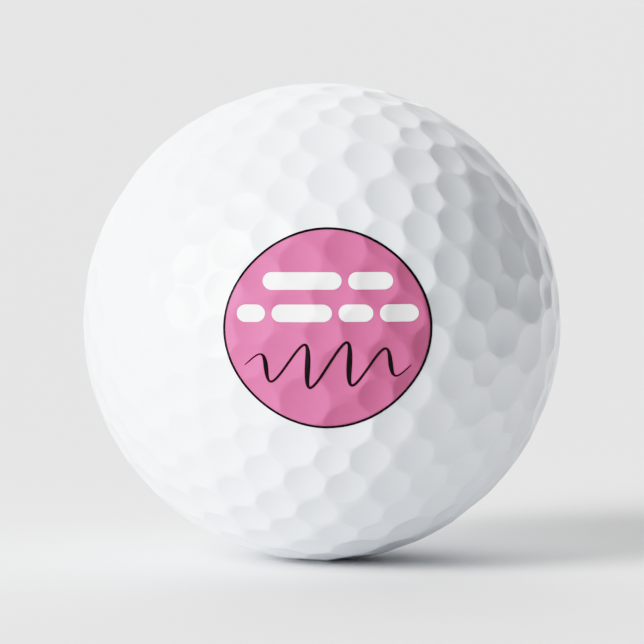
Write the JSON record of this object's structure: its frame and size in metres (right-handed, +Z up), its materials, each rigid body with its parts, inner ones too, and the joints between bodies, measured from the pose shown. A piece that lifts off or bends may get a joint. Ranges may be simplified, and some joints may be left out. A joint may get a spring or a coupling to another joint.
{
  "type": "golf ball",
  "caption": "Regulation-size golf ball: solid core, casing and dimpled white cover, with a round printed badge of plain marks.",
  "frame": {"origin": "centre of the ball", "axes": "+Z up with the badge upright; the badge faces -Y, 3.5 degrees up and 1.5 degrees to the right; +X is to the right as one faces the badge"},
  "size_m": [0.0426, 0.0427, 0.0426],
  "materials": {
    "cover": "gloss white ionomer under a clear coat",
    "casing": "satin cream moulded resin",
    "core": "matte moulded polybutadiene rubber",
    "pink_ink": "gloss printed ink",
    "black_ink": "gloss printed ink",
    "white_ink": "gloss printed ink"
  },
  "bodies": {
    "root": {"cover_front_half": "cover", "cover_back_half": "cover", "casing_front_half": "casing", "casing_back_half": "casing", "core": "core", "badge_outline": "black_ink", "badge_field": "pink_ink", "badge_upper_dash_1": "white_ink", "badge_upper_dash_2": "white_ink", "badge_lower_dash_1": "white_ink", "badge_lower_dash_2": "white_ink", "badge_lower_dash_3": "white_ink", "badge_lower_dash_4": "white_ink", "badge_waved_line": "black_ink"}
  },
  "joints": []
}
